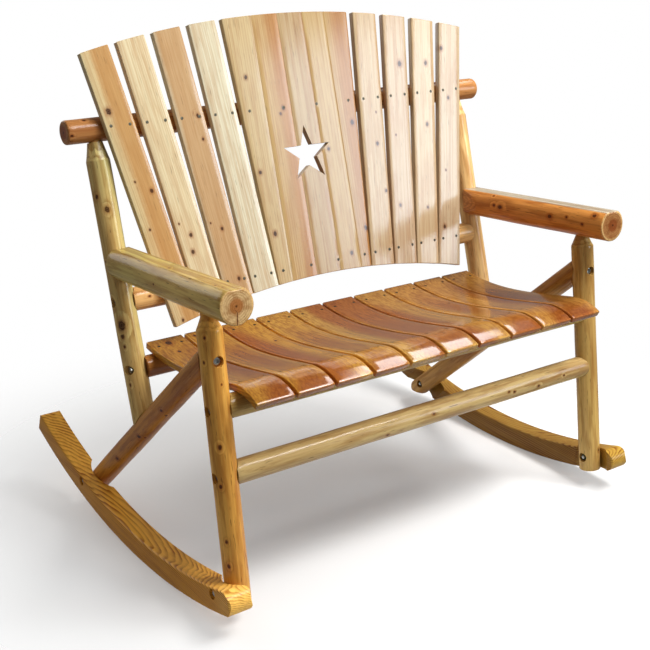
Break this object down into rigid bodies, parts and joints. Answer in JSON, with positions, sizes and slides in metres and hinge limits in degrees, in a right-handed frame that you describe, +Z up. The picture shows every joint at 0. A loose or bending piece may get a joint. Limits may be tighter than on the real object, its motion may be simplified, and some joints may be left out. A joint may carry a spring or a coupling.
{
  "type": "rocking chair",
  "caption": "Wide rocking chair built of round logs on curved rockers, with a fan of flat back slats round a panel with a star cut-out and a dished slatted seat.",
  "frame": {"origin": "on the floor, under the middle of the rockers' length and half way between them, with the chair standing at rest", "axes": "+Z up, +X to the right of someone looking at the front of the chair, +Y from the front of the chair to its back; the chair faces -Y"},
  "size_m": [1.124, 0.9418, 1.1216],
  "materials": {
    "log_wood": "peeled round logs under clear varnish",
    "rocker_wood": "sawn pine with strong grain under clear varnish",
    "back_wood": "planed knotty softwood boards under clear varnish",
    "seat_wood": "planed reddish boards under gloss varnish",
    "bolt_steel": "zinc-plated bolts and nuts",
    "screw_steel": "dull dark wood screws"
  },
  "bodies": {
    "root": {"rocker_left": "rocker_wood", "rocker_right": "rocker_wood", "front_post_left": "log_wood", "front_post_right": "log_wood", "rear_post_left": "log_wood", "rear_post_right": "log_wood", "brace_left": "log_wood", "brace_right": "log_wood", "armrest_left": "log_wood", "armrest_right": "log_wood", "front_seat_rail": "log_wood", "rear_seat_rail": "log_wood", "front_stretcher": "log_wood", "lower_back_rail": "log_wood", "top_back_rail": "log_wood", "back_slat_1": "back_wood", "back_slat_2": "back_wood", "back_slat_3": "back_wood", "back_slat_4": "back_wood", "back_slat_5": "back_wood", "back_slat_6": "back_wood", "back_slat_7": "back_wood", "back_slat_8": "back_wood", "star_panel": "back_wood", "seat_slat_1": "seat_wood", "seat_slat_2": "seat_wood", "seat_slat_3": "seat_wood", "seat_slat_4": "seat_wood", "seat_slat_5": "seat_wood", "seat_slat_6": "seat_wood", "seat_slat_7": "seat_wood", "seat_slat_8": "seat_wood", "seat_slat_9": "seat_wood", "seat_slat_10": "seat_wood", "rocker_bolts": "bolt_steel", "rocker_nuts": "bolt_steel", "brace_bolts": "bolt_steel", "rail_bolts": "bolt_steel", "arm_bolts": "bolt_steel", "foot_screws": "bolt_steel", "back_screws_upper": "screw_steel", "back_screws_lower": "screw_steel", "seat_screws_front": "screw_steel", "seat_screws_rear": "screw_steel"}
  },
  "joints": []
}
